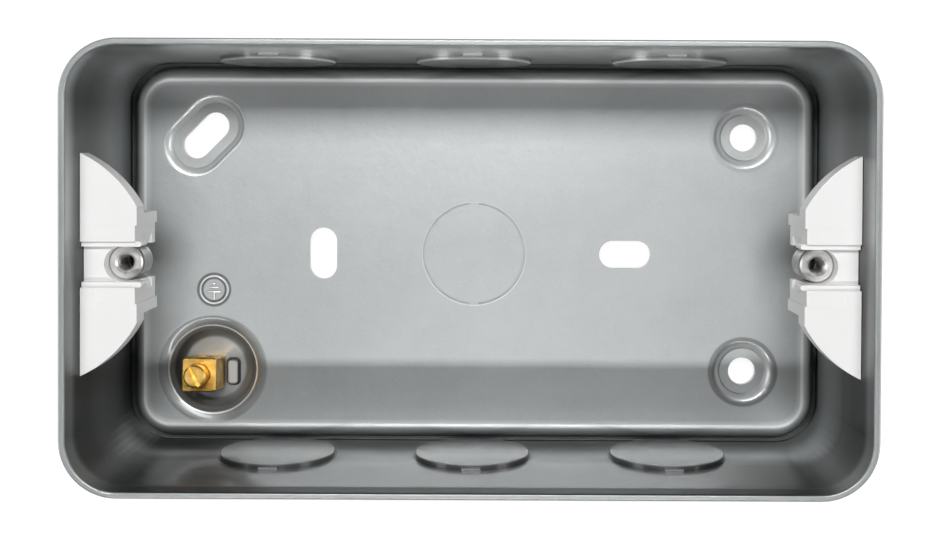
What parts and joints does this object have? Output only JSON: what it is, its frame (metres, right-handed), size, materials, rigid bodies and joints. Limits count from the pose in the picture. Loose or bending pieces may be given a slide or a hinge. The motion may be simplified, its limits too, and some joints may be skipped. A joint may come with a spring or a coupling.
{
  "type": "surface back box",
  "caption": "Pressed steel surface back box for a wide wiring accessory: raised back panel with fixing slots, side knockouts, moulded nut carriers and a brass earth terminal.",
  "frame": {"origin": "centre of the back plane, on which the back ring lies against the wall", "axes": "+X along the box's length, +Y across it towards the side with the corner slot, +Z out of the wall towards the open mouth"},
  "size_m": [0.1364, 0.0764, 0.04],
  "materials": {
    "grey_paint": "semi-gloss grey coating with fine orange peel",
    "white_moulding": "satin white moulding",
    "nut_steel": "turned, zinc plated",
    "terminal_brass": "sawn and drilled, bright",
    "screw_brass": "turned, bright"
  },
  "bodies": {
    "root": {"box_shell": "grey_paint", "lug_carrier_left": "white_moulding", "lug_carrier_right": "white_moulding", "barrel_nut_left": "nut_steel", "barrel_nut_right": "nut_steel", "earth_terminal_block": "terminal_brass", "earth_terminal_screw": "screw_brass"}
  },
  "joints": []
}
